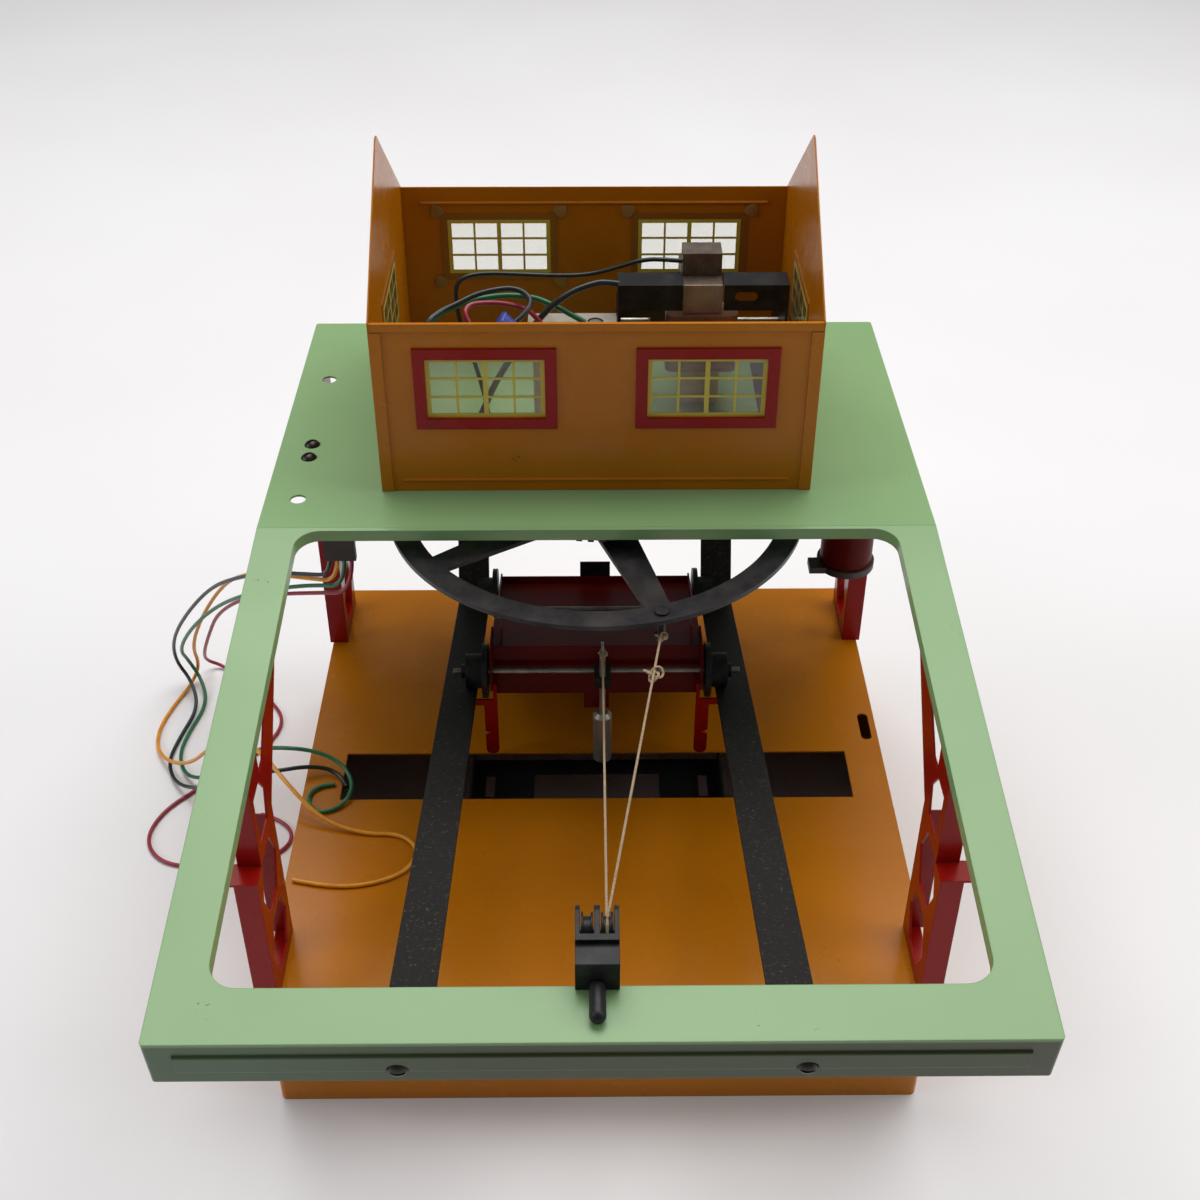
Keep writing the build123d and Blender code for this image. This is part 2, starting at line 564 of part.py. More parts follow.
def motor_shaft():
    """Motor shaft with the worm cut on its inner end."""
    shape = rod_x(MOTOR_SHAFT_R, -8, 80, MOTOR_Y, MOTOR_Z) + rod_x(WORM_R, -6, 6, MOTOR_Y, MOTOR_Z)
    groove = rod_x(WORM_R + 1, 0, 0.7, MOTOR_Y, MOTOR_Z) - rod_x(WORM_R - 0.6, -1, 2, MOTOR_Y, MOTOR_Z)
    for k in range(5):
        shape -= Pos(-4.4 + 2 * k, 0, 0) * groove
    return shape


def brush_holder():
    """Two brush tubes with their springs, on a fibre strip beside the commutator."""
    x = CORE_X0 - 9
    shape = block(x - 4, x + 2, MOTOR_Y - 17, MOTOR_Y - 15.4, MOTOR_Z - 7, BRACKET_TOP - 1)
    shape += block(10.2, x - 4, MOTOR_Y - 17, MOTOR_Y - 15.4, MOTOR_Z + 10, MOTOR_Z + 14)
    return shape + rod_y(2.2, MOTOR_Y - 15.4, MOTOR_Y - 5.0 - CLEAR, x, MOTOR_Z)


def motor_plate():
    """Grey top plate of the reduction drive, on two posts, with its screw."""
    z = MOTOR_Z + PLATE_RISE
    post_y = COUNTER_Y - WORM_WHEEL_R - 4
    plate = block(-27, 8.6, post_y - 4.2, COUNTER_Y + 7, z, z + 1.0)
    plate -= rod_z(SHAFT_R + 0.6, z - 1, z + 2, 0, COUNTER_Y)
    for x in (-22, 6):
        plate += rod_z(2.5, DECK_TOP, z, x, post_y)
    return plate


# ---------------------------------------------------------------- trolley
def trolley_body():
    """Folded pan between two side plates, with lugs under the rails."""
    half = TROLLEY_X - TIN
    profile = [
        (4, -12.5), (4 + TIN, -12.5), (4 + TIN, 8.7), (32, 8.7), (32, 2), (88, 2), (88, -6),
        (88 + TIN, -6), (88 + TIN, 6), (88, 6), (88, 2 + TIN), (32 + TIN, 2 + TIN), (32 + TIN, 9.5), (4, 9.5),
    ]
    shape = plate_yz(profile, -half, half)
    shape += block(-5.3, 5.3, 4, 4 + TIN, -19.5, -12.5)
    side = [(-7, -6), (-7, 8), (-3, 12), (12, 15), (18, 9.5), (32, 9.5), (80, 6), (92, 6), (92, -6), (80, -8), (10, -11)]
    plate = plate_yz(side, half, half + TIN)
    plate -= rod_x(AXLE_R + FIT, 0, 60, 0, 0)
    plate -= rod_x(AXLE_R + FIT, 0, 60, WHEELBASE, 0)
    for piece in both_sides(plate):
        shape += piece
    for side_x in (-1, 1):
        x = side_x * (half - 3.5)
        shape += block(x - 0.4, x + 0.4, 6, 14, 9.5, 17)
    return on_trolley(shape)


def jaw_shafts():
    """Two cross shafts in the pan, where the grab's jaws hang."""
    half = TROLLEY_X - TIN
    return Compound([on_trolley(rod_x(1.2, -half, half, u, n)) for u, n in ((38, 6.4), (52, 5.2))])


def bucket_arm():
    """Right grab arm: a strip below the side plate with a lug that runs under the rail."""
    inner = TROLLEY_X - 2.4
    y0, low = FRONT_AXLE_Y - 4.5, BASE_H + 1.8
    y1 = y0 + 1.0
    top = AXLE_Z - FLANGE_R - 0.8
    outer = inner + 5.6
    strip = block(inner, outer, y0, y1, low + 2.8, top)
    tip = rod_y(2.8, y0, y1, inner + 2.8, low + 2.8)
    notch = plate_xz([(outer + 0.4, 76), (outer - 2.6, 74.7), (outer + 0.4, 73.4)], y0 - 1, y1 + 1)
    lug = block(inner, RAIL_X - RAIL_W / 2 + 1.6, y0, y1, top - 3, top)
    neck = block(inner, TROLLEY_X - TIN, y0, y1, top, AXLE_Z - 4)
    return strip + tip + lug + neck - notch


def bumper():
    return on_trolley(block(-7, 7, 88 + TIN, 88 + 2 * TIN, 1, 13))


def axle(at):
    return on_trolley(rod_x(AXLE_R, -60, 60, at, 0))


def trolley_wheel(at):
    """Right-hand wheel: flange inside, tread on the rail, hub outside."""
    shape = rod_x(FLANGE_R, FLANGE_X, FLANGE_X + FLANGE_W, at, 0)
    shape += rod_x(TREAD_R, FLANGE_X + FLANGE_W, FLANGE_X + FLANGE_W + TREAD_W, at, 0)
    end = FLANGE_X + FLANGE_W + TREAD_W
    shape += rod_x(3.0, end, end + 2.0, at, 0)
    shape -= rod_x(TREAD_R - 1.8, end - 1.5, end, at, 0) - rod_x(3.0, end - 2, end + 1, at, 0)
    return on_trolley(shape - rod_x(AXLE_R, 0, 70, at, 0))


ROD_X, ROD_Y = 2.5, FRONT_AXLE_Y - 6.5
ROD_TOP = AXLE_Z + 16


def hanger_rod():
    """Draw rod with the string's eye at the top and a weight at the bottom."""
    shape = rod_z(1.3, BASE_H + 24, ROD_TOP, ROD_X, ROD_Y)
    eye = Pos(ROD_X, ROD_Y, ROD_TOP + 1.2) * Rot(0, 90, 0) * Torus(1.9, 0.6)
    return shape + eye


def hanger_weight():
    z0, z1 = BASE_H + 1.6, BASE_H + 27.0
    shape = rod_z(4.0, z0, z1, ROD_X, ROD_Y)
    shape = chamfer(shape.edges().group_by(Axis.Z)[-1], 1.6)
    return shape - rod_z(1.3, BASE_H + 24, z1 + 1, ROD_X, ROD_Y)


def rod_clip():
    """Strap round the front axle that carries the draw rod."""
    half = 3.4
    y0, y1 = ROD_Y - 2.6, FRONT_AXLE_Y + 2.4
    shape = block(ROD_X - half, ROD_X + half, y0, y1, AXLE_Z - 2.4, AXLE_Z + 2.4)
    shape -= rod_x(AXLE_R + FIT, -10, 15, FRONT_AXLE_Y, AXLE_Z)
    return shape - rod_z(1.3, AXLE_Z - 5, AXLE_Z + 5, ROD_X, ROD_Y)


# ---------------------------------------------------------------- pulley block and strings
BLOCK_X = -1.4
SHEAVE_X = BLOCK_X + 2.9
BLOCK_LIFT = 4.0


def block_axis():
    """Middle of the sheave pin."""
    return BLOCK_Y, boom_z(BLOCK_Y) + BLOCK_LIFT


def pulley_block():
    """Die-cast fork with two sheave slots, clamped over the front beam's lip."""
    y, z = block_axis()
    half = BLOCK_W / 2
    x0, x1 = BLOCK_X - half, BLOCK_X + half
    beam = FRONT_Y + FRONT_BEAM
    low = boom_z(beam) + 0.1
    fork = block(x0, x1, y - 9, y + 6.8, z - 6.6, z + 6.6)
    fork = fillet(fork.edges().filter_by(Axis.X).group_by(Axis.Y)[-1], 5.0)
    for centre in (BLOCK_X - 2.9, SHEAVE_X):
        fork -= block(centre - SHEAVE_W / 2 - CLEAR, centre + SHEAVE_W / 2 + CLEAR, y - 6.6, y + 10, z - 8, z + 8)
    fork -= rod_x(1.2, x0 - 1, x1 + 1, y, z)
    neck = block(x0, x1, beam - 1.5, y - 9, low, z + 5.0)
    hook = block(x0, x1, beam + TIN + 0.4, y - 9, boom_z(beam) - LIP - 2, z)
    return fork + neck + hook


def pulley_sheaves():
    """Two grooved sheaves on the one pin."""
    y, z = block_axis()
    sheaves = []
    for centre in (BLOCK_X - 2.9, SHEAVE_X):
        sheave = rod_x(SHEAVE_R, centre - SHEAVE_W / 2, centre + SHEAVE_W / 2, y, z)
        ring = rod_x(SHEAVE_R + 1, centre - 1.1, centre + 1.1, y, z)
        sheave -= ring - rod_x(SHEAVE_R - 1.2, centre - 2, centre + 2, y, z)
        sheaves.append(sheave - rod_x(1.2 + FIT, centre - 3, centre + 3, y, z))
    return Compound(sheaves)


def pulley_pin():
    y, z = block_axis()
    return rod_x(1.2, BLOCK_X - BLOCK_W / 2, BLOCK_X + BLOCK_W / 2, y, z)


def block_stud():
    """Round stud that clamps the block to the beam; its domed end shows on top."""
    y0, y1 = -BOOM_L + 7.0, -BOOM_L + FRONT_BEAM - 1.5
    shape = rod_y(2.4, y0, y1, BLOCK_X, 2.4)
    return on_boom(shape + Pos(BLOCK_X, y0, 2.4) * Sphere(2.4))


GROOVE_R = SHEAVE_R - 1.2 + STRING_R + FIT


def string(start, end):
    along = Vector(*end) - Vector(*start)
    section = Plane(origin=start, z_dir=along) * Circle(STRING_R)
    return extrude(section, along.length)


def string_drive():
    """From the crank pin to the sheave and half way round it."""
    y, z = block_axis()
    pin_x, pin_y = PIN_XY
    tied = (pin_x, pin_y - PIN_R - STRING_R - 0.1, PIN_LOW + 2)
    shape = string(tied, (SHEAVE_X, y, z + GROOVE_R))
    wrap = Pos(SHEAVE_X, y, z) * Rot(0, 90, 0) * Torus(GROOVE_R, STRING_R)
    return shape + (wrap & block(SHEAVE_X - 2, SHEAVE_X + 2, y - 9, y, z - 9, z + 9))


def string_trolley():
    """From the draw rod's eye to the underside of the sheave."""
    y, z = block_axis()
    return string((ROD_X, ROD_Y - 2.6, ROD_TOP + 1.2), (SHEAVE_X, y + 0.15, z - GROOVE_R))


# ---------------------------------------------------------------- electrics under the deck
CAN_X, CAN_Y, CAN_R, CAN_LOW = 111.2 - 2.0, 98.0, 11.2, 126.0


def relay_can():
    can = rod_z(CAN_R, CAN_LOW + 1.5, DECK_UNDER, CAN_X, CAN_Y)
    return can - rod_z(CAN_R - TIN, CAN_LOW, DECK_UNDER - TIN, CAN_X, CAN_Y)


def relay_base():
    """Black moulded foot of the relay with its terminal ear."""
    shape = rod_z(CAN_R + 1.2, CAN_LOW - 1.5, CAN_LOW + 1.5, CAN_X, CAN_Y)
    shape += block(CAN_X - 16.5, CAN_X - 8, CAN_Y - 8, CAN_Y, CAN_LOW - 1.5, CAN_LOW + 1.5)
    return shape + rod_z(CAN_R - 3, CAN_LOW + 1.5, DECK_UNDER - 6, CAN_X, CAN_Y)


BOARD_X0, BOARD_X1, BOARD_T = -112.5, -99.5, 3.0
BOARD_Y = 70.3
BOARD_LOW = 146.2      # the wires hang from its lower edge


def terminal_board():
    """Fibre board hung under the deck by the two deck screws."""
    y1 = DECK_SCREWS[0] + 4
    shape = block(BOARD_X0, BOARD_X1, BOARD_Y, BOARD_Y + BOARD_T, BOARD_LOW, DECK_UNDER)
    shape += block(DECK_HOLE_X - 4.5, BOARD_X1, BOARD_Y, y1, DECK_UNDER - 3, DECK_UNDER)
    for y in DECK_SCREWS:
        shape -= rod_z(SCREW_R, DECK_UNDER - 5, DECK_UNDER + 1, DECK_HOLE_X, y)
    return shape


WIRES = {
    "wire_black": [
        (-110.5, 71.8, 146), (-112, 73, 137), (-122, 78, 134), (-140, 88, 128), (-158, 104, 114),
        (-176, 122, 96), (-194, 138, 70), (-210, 156, 40), (-216, 169, 15), (-207, 162, 6),
        (-201.5, 147, 1), (-206.5, 124, 1), (-208.5, 106, 1), (-201, 89, 2.5), (-186, 77, 11),
        (-170, 58, 32), (-153, 38, 58), (-137, 27, 68), (-122, 33, 66), (-110, 33, 62.5),
        (-106, 24, 62),
    ],
    "wire_yellow": [
        (-107.5, 71.8, 146), (-109, 73, 134), (-121, 79, 131), (-139, 92, 124), (-158, 112, 110),
        (-174, 131, 90), (-191, 146, 60), (-204, 163, 28), (-205, 174, 7), (-209, 164, 1.2),
        (-214, 150, 1), (-218, 132, 1), (-216, 116, 1.6), (-207, 102, 5), (-192, 91, 14),
        (-176, 74, 40), (-158, 52, 64), (-142, 32, 76), (-127, 13, 72), (-113, 2, 64),
        (-96, -4, 62), (-80, -4, 62), (-72, -13, 62), (-76, -25, 62), (-90, -32, 62),
        (-107, -33, 62), (-121, -29, 62),
    ],
    "wire_green": [
        (-104.5, 71.8, 146), (-106, 73, 131), (-120, 80, 127), (-138, 90, 118), (-157, 106, 103),
        (-177, 125, 82), (-196, 142, 56), (-209, 158, 30), (-210, 172, 12), (-203, 166, 3.5),
        (-197.5, 150, 1), (-203, 127, 1), (-204, 110, 1), (-196.5, 94, 2), (-181, 84, 12),
        (-165, 68, 34), (-150, 50, 60), (-135, 38, 72), (-120, 38, 70), (-108, 33, 67),
        (-102, 22, 64), (-107, 11, 62), (-117, 8, 62), (-122, 17, 62), (-118, 25, 62),
        (-111, 25.5, 62),
    ],
    "wire_red": [
        (-101.5, 71.8, 146), (-103, 73, 128), (-119, 81, 122), (-138, 94, 112), (-160, 116, 94),
        (-180, 136, 70), (-191, 151, 44), (-200, 168, 20), (-203, 179, 6), (-195, 181, 1),
        (-181, 167, 1), (-166, 153, 1), (-156, 137, 1), (-161, 119, 1), (-176, 101, 1),
        (-191, 87, 1), (-204, 72, 1), (-208, 54, 1), (-199, 40, 1), (-183, 36, 1),
        (-164, 36, 1), (-147, 42, 1), (-139, 54, 1), (-146, 66, 1), (-157, 70, 1),
    ],
}


def corner_radius(before, corner, after):
    """Largest easy bend at a corner of a wire's route."""
    first, second = Vector(*corner) - Vector(*before), Vector(*after) - Vector(*corner)
    turn = math.radians(first.get_angle(second))
    return 0.45 * min(first.length, second.length) / math.tan(turn / 2)


def wire(name):
    route = WIRES[name]
    radii = [corner_radius(*route[k - 1:k + 2]) for k in range(1, len(route) - 1)]
    path = FilletPolyline(*route, radius=radii)
    print(name, "length", round(path.length), "radii", [round(r, 1) for r in radii])
    section = Plane(origin=route[0], z_dir=Vector(*route[1]) - Vector(*route[0])) * Circle(WIRE_R)
    shape = sweep(section, path=path)
    print(name, "volume over section times length", round(shape.volume / (section.area * path.length), 4))
    return shape


# ---------------------------------------------------------------- build
def build():
    save("base_box", base_box())
    save("slot_bracket", slot_bracket())
    save("deck", deck())
    save("boom_frame", boom_frame())
    for name, shape in (("front_leg", front_leg()), ("rear_leg", rear_leg()), ("rail", rail())):
        right, left = both_sides(shape)
        save(f"{name}_right", right)
        save(f"{name}_left", left)
    save("screws", screws())
    save("cabin_front_wall", front_wall())
    save("cabin_back_wall", back_wall())
    right, left = both_sides(gable_wall())
    save("cabin_gable_right", right)
    save("cabin_gable_left", left)
    save("window_frames", window_frames())
    save("window_panes", window_panes())
    save("drive_wheel", drive_wheel())
    save("crank_pin", crank_pin())
    save("drive_gear", drive_gear())
    save("drive_shaft", drive_shaft())
    save("shaft_bushes", shaft_bushes())
    save("countershaft", countershaft())
    save("counter_pinion", counter_pinion())
    save("worm_wheel", worm_wheel())
    save("motor_core", motor_core())
    save("motor_coil", motor_coil())
    save("motor_bracket_left", motor_bracket(BRACKET_X[0], 1))
    save("motor_bracket_right", motor_bracket(BRACKET_X[1], -1))
    save("motor_armature", armature())
    save("motor_shaft", motor_shaft())
    save("brush_holder", brush_holder())
    save("motor_plate", motor_plate())
    save("trolley_body", trolley_body())
    save("jaw_shafts", jaw_shafts())
    right, left = both_sides(bucket_arm())
    save("bucket_arm_right", right)
    save("bucket_arm_left", left)
    save("trolley_bumper", bumper())
    for end, at in (("front", 0), ("rear", WHEELBASE)):
        save(f"axle_{end}", axle(at))
        right, left = both_sides(trolley_wheel(at))
        save(f"wheel_{end}_right", right)
        save(f"wheel_{end}_left", left)
    save("hanger_rod", hanger_rod())
    save("hanger_weight", hanger_weight())
    save("rod_clip", rod_clip())
    save("pulley_block", pulley_block())
    save("pulley_sheaves", pulley_sheaves())
    save("pulley_pin", pulley_pin())
    save("block_stud", block_stud())
    save("string_drive", string_drive())
    save("string_trolley", string_trolley())
    save("relay_can", relay_can())
    save("relay_base", relay_base())
    save("terminal_board", terminal_board())
    for name in WIRES:
        save(name, wire(name))


build()
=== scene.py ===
import json
import math

import bpy
import numpy as np
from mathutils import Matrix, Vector


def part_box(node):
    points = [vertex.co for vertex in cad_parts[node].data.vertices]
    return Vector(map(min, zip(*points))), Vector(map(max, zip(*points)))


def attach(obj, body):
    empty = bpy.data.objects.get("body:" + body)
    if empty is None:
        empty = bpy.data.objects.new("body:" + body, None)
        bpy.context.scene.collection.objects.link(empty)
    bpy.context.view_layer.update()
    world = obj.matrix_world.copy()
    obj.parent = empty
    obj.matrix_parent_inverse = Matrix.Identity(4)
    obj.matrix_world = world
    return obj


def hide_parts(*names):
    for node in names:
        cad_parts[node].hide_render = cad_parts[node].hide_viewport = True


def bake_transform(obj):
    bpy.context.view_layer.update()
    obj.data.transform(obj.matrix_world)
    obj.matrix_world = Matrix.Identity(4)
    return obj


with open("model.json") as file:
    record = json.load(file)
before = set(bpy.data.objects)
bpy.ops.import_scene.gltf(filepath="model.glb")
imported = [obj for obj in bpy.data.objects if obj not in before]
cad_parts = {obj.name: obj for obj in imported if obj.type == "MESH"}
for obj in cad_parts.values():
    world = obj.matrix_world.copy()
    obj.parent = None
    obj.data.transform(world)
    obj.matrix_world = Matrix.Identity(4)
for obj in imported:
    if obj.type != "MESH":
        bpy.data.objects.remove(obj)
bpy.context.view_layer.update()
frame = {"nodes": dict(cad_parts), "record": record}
nodes = frame["nodes"]
slot_of = {s["node"]: s["material_slot"] for s in frame["record"]["subparts"]}


# ------------------------------------------------------------- node helpers
looks = {}


def material(name):
    """A new material: its node tree, its Principled shader and a way to add nodes."""
    mat = bpy.data.materials.new(name + "_look")
    looks[name] = mat
    mat.use_nodes = True
    tree = mat.node_tree
    shader = next(n for n in tree.nodes if n.type == "BSDF_PRINCIPLED")

    def add(kind, links=None, **values):
        node = tree.nodes.new(kind)
        for key, value in values.items():
            if hasattr(node, key):
                setattr(node, key, value)
            else:
                node.inputs[key.replace("_", " ")].default_value = value
        for socket, source in (links or {}).items():
            tree.links.new(source, node.inputs[socket])
        return node

    return mat, tree, shader, add


def plug(tree, shader, **sources):
    for key, source in sources.items():
        tree.links.new(source, shader.inputs[key.replace("_", " ")])


def noise(add, scale, detail=3.0, roughness=0.55):
    where = add("ShaderNodeTexCoord")
    return add("ShaderNodeTexNoise", {"Vector": where.outputs["Object"]},
               Scale=scale, Detail=detail, Roughness=roughness)


def ramp(add, source, low, high, dark, light):
    """Colour from dark to light while source goes from low to high."""
    node = add("ShaderNodeValToRGB", {"Fac": source})
    first, last = node.color_ramp.elements
    first.position, last.position = low, high
    first.color, last.color = (*dark, 1), (*light, 1)
    return node


def paint(name, *node_names):
    for node_name in node_names:
        mesh = nodes[node_name].data
        mesh.materials.clear()
        mesh.materials.append(looks[name])


def parametric(name, surface, nu, nv, mat, body, closed_u=False, closed_v=False):
    """A grid mesh of surface(u, v), u and v from 0 to 1, riding on a body."""
    u = np.linspace(0, 1, nu, endpoint=not closed_u)
    v = np.linspace(0, 1, nv, endpoint=not closed_v)
    grid_u, grid_v = np.meshgrid(u, v, indexing="ij")
    points = np.stack(surface(grid_u, grid_v), axis=-1).reshape(-1, 3)
    rows = nu if closed_u else nu - 1
    columns = nv if closed_v else nv - 1
    i, j = np.meshgrid(np.arange(rows), np.arange(columns), indexing="ij")
    ni, nj = (i + 1) % nu, (j + 1) % nv
    faces = np.stack([i * nv + j, ni * nv + j, ni * nv + nj, i * nv + nj], axis=-1).reshape(-1, 4)
    mesh = bpy.data.meshes.new(name)
    mesh.from_pydata(points.tolist(), [], faces.tolist())
    mesh.polygons.foreach_set("use_smooth", [True] * len(mesh.polygons))
    mesh.materials.append(looks[mat])
    piece = bpy.data.objects.new(name, mesh)
    bpy.context.scene.collection.objects.link(piece)
    if body:
        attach(piece, body)
    return piece


# ------------------------------------------------------------- camera and studio
# A long table-top view from above the boom, and a pale seamless sheet under soft lamps.
camera_data = bpy.data.cameras.new("camera")
camera_data.sensor_width = 36
camera_data.lens = 47.262
camera = bpy.data.objects.new("camera", camera_data)
bpy.context.scene.collection.objects.link(camera)
camera.location = (-0.0039151, -0.4638376, 0.5244501)
camera.rotation_euler = (math.radians(53.242), math.radians(-0.08), math.radians(-0.540))
bpy.context.scene.camera = camera

floor_mesh = bpy.data.meshes.new("floor")
floor_mesh.from_pydata([(-4, -4, 0), (4, -4, 0), (4, 4, 0), (-4, 4, 0)], [], [(0, 1, 2, 3)])
floor = bpy.data.objects.new("floor", floor_mesh)
bpy.context.scene.collection.objects.link(floor)
mat, tree, shader, add = material("paper_sweep")
sweep = noise(add, 3.0, 2.0)
paper = ramp(add, sweep.outputs["Fac"], 0.3, 0.7, (0.80, 0.79, 0.80), (0.84, 0.835, 0.845))
plug(tree, shader, Base_Color=paper.outputs["Color"])
shader.inputs["Roughness"].default_value = 0.75
floor_mesh.materials.append(mat)

world = bpy.data.worlds.new("studio")
bpy.context.scene.world = world
world.use_nodes = True
world.node_tree.nodes["Background"].inputs["Color"].default_value = (0.93, 0.95, 1.0, 1)
world.node_tree.nodes["Background"].inputs["Strength"].default_value = 0.17


def lamp(name, place, aim, size, watts, colour):
    data = bpy.data.lights.new(name, "AREA")
    data.shape = "RECTANGLE"
    data.size, data.size_y = size
    data.energy = watts
    data.color = colour
    piece = bpy.data.objects.new(name, data)
    piece.location = place
    piece.rotation_euler = (Vector(aim) - Vector(place)).to_track_quat("-Z", "Y").to_euler()
    bpy.context.scene.collection.objects.link(piece)


lamp("overhead", (0.10, 0.75, 1.9), (0, 0.1, 0.1), (2.0, 1.4), 38, (1.0, 0.985, 0.965))
lamp("left_fill", (-1.6, -0.2, 1.1), (0, 0, 0.1), (1.0, 1.0), 9, (0.97, 0.97, 1.0))
lamp("right_fill", (1.6, -0.1, 1.2), (0, 0, 0.1), (1.0, 1.0), 10, (1.0, 0.98, 0.95))
bpy.context.scene.view_settings.view_transform = "Standard"


# ------------------------------------------------------------- enamelled sheet
# Pressed tin with baked enamel: soft orange peel, slightly darker blotches, fine dust
# specks and a rounded highlight along every fold.
COLOUR_A, COLOUR_B, MIXED = 6, 7, 2     # sockets of a mix node that takes colours


def enamel(name, colour, deep, rough, specks=0.72, gloss_level=0.35, front=None):
    mat, tree, shader, add = material(name)
    blotch = noise(add, 9.0, 4.0)
    tone = ramp(add, blotch.outputs["Fac"], 0.30, 0.72, deep, colour)
    dust = noise(add, 900.0, 2.0)
    clusters = noise(add, 40.0, 2.0)
    both = add("ShaderNodeMath", {0: dust.outputs["Fac"], 1: clusters.outputs["Fac"]},
               operation="MULTIPLY")
    mask = ramp(add, both.outputs[0], specks * 0.56, specks * 0.62, (0, 0, 0), (1, 1, 1))
    mixed = add("ShaderNodeMix", {"Factor": mask.outputs["Color"]}, data_type="RGBA")
    tree.links.new(tone.outputs["Color"], mixed.inputs[COLOUR_A])
    mixed.inputs[COLOUR_B].default_value = (0.02, 0.016, 0.012, 1)
    coat_and_skirt_shade = mixed.outputs[MIXED]
    if front:
        # Painted shade: the front skirt is darkened below its edge, most towards the middle.
        where = add("ShaderNodeTexCoord")
        part = add("ShaderNodeSeparateXYZ", {0: where.outputs["Object"]})
        face = add("ShaderNodeMapRange", {"Value": part.outputs["Y"]}, clamp=True)
        face.inputs["From Min"].default_value = front[0]
        face.inputs["From Max"].default_value = front[0] - 0.0004
        below = add("ShaderNodeMapRange", {"Value": part.outputs["Z"]}, clamp=True)
        below.inputs["From Min"].default_value = front[1]
        below.inputs["From Max"].default_value = front[1] - 0.0012
        both_on = add("ShaderNodeMath", {0: face.outputs["Result"], 1: below.outputs["Result"]},
                      operation="MULTIPLY")
        from_left = add("ShaderNodeMapRange", {"Value": part.outputs["X"]}, clamp=True)
        from_left.inputs["From Min"].default_value = -0.10
        from_left.inputs["From Max"].default_value = -0.03
        shade = ramp(add, from_left.outputs["Result"], 0.0, 1.0, (0.27, 0.30, 0.27), (0.20, 0.16, 0.09))
        skirt = add("ShaderNodeMix", {"Factor": both_on.outputs[0]},
                    data_type="RGBA", blend_type="MULTIPLY")
        tree.links.new(mixed.outputs[MIXED], skirt.inputs[COLOUR_A])
        tree.links.new(shade.outputs["Color"], skirt.inputs[COLOUR_B])
        coat_and_skirt_shade = skirt.outputs[MIXED]
    smear = noise(add, 30.0, 5.0)
    gloss = add("ShaderNodeMapRange", {"Value": smear.outputs["Fac"]}, clamp=True)
    gloss.inputs["To Min"].default_value = rough * 0.75
    gloss.inputs["To Max"].default_value = rough * 1.35
    fold = add("ShaderNodeBevel", samples=4, Radius=0.0006)
    peel = noise(add, 260.0, 2.0)
    bump = add("ShaderNodeBump", {"Height": peel.outputs["Fac"], "Normal": fold.outputs["Normal"]},
               Strength=0.10, Distance=0.0004)
    waves = noise(add, 22.0, 1.0)
    bump2 = add("ShaderNodeBump", {"Height": waves.outputs["Fac"], "Normal": bump.outputs["Normal"]},
                Strength=0.12, Distance=0.002)
    plug(tree, shader, Base_Color=coat_and_skirt_shade, Roughness=gloss.outputs["Result"],
         Normal=bump2.outputs["Normal"])
    shader.inputs["Coat Weight"].default_value = 0.3 * gloss_level
    shader.inputs["Coat Roughness"].default_value = 0.12
    shader.inputs["Specular IOR Level"].default_value = gloss_level


enamel("mustard_enamel", (0.52, 0.170, 0.002), (0.44, 0.138, 0.0015), 0.26, specks=0.84,
       gloss_level=0.22)
enamel("green_enamel", (0.250, 0.415, 0.190), (0.220, 0.380, 0.165), 0.30, specks=0.86)
# The boom frame's enamel carries painted shade on its front skirt.
boom_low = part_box("boom_frame")[0]
enamel("boom_green", (0.225, 0.385, 0.175), (0.200, 0.350, 0.150), 0.30, specks=0.86,
       front=(boom_low.y + 0.0048, boom_low.z + 0.0185))
enamel("red_enamel", (0.33, 0.006, 0.003), (0.25, 0.004, 0.002), 0.28, gloss_level=0.18)
# A darker, duller copy of the red enamel for the trolley and relay can under the deck: its darker
# colour is painted shade.
enamel("dull_shaded_red", (0.13, 0.004, 0.002), (0.07, 0.003, 0.001), 0.38, gloss_level=0.08)
for name, kind in slot_of.items():
    if kind.endswith("_enamel"):
        paint(kind, name)
paint("dull_shaded_red", "trolley_body", "relay_can")
paint("boom_green", "boom_frame")


# ------------------------------------------------------------- black steel
# Thin black finish over steel: worn grey in patches, and a coarse speckle of dust and dried oil
# along the two rails.
def black_steel(name, base, worn, scale, low, high, rough):
    mat, tree, shader, add = material(name)
    wear = noise(add, scale, 6.0, 0.7)
    tone = ramp(add, wear.outputs["Fac"], low, high, base, worn)
    fold = add("ShaderNodeBevel", samples=4, Radius=0.0004)
    bump = add("ShaderNodeBump", {"Height": wear.outputs["Fac"], "Normal": fold.outputs["Normal"]},
               Strength=0.25, Distance=0.0003)
    plug(tree, shader, Base_Color=tone.outputs["Color"], Normal=bump.outputs["Normal"])
    shader.inputs["Roughness"].default_value = rough
    shader.inputs["Specular IOR Level"].default_value = 0.25


black_steel("black_steel", (0.008, 0.008, 0.009), (0.035, 0.034, 0.034), 120.0, 0.45, 0.8, 0.40)
# A darker copy of the black steel for the bracket down in the slot: painted shade.
black_steel("slot_shaded_black", (0.003, 0.003, 0.003), (0.012, 0.011, 0.010), 120.0, 0.45, 0.8, 0.55)
black_steel("wheel_black", (0.013, 0.013, 0.017), (0.050, 0.045, 0.042), 70.0, 0.40, 0.75, 0.34)
black_steel("rail_black", (0.008, 0.007, 0.006), (0.11, 0.095, 0.08), 700.0, 0.57, 0.74, 0.55)
for name, kind in slot_of.items():
    if kind == "black_steel":
        paint("rail_black" if name.startswith("rail_") else "black_steel", name)
paint("wheel_black", "drive_wheel")
paint("slot_shaded_black", "slot_bracket")


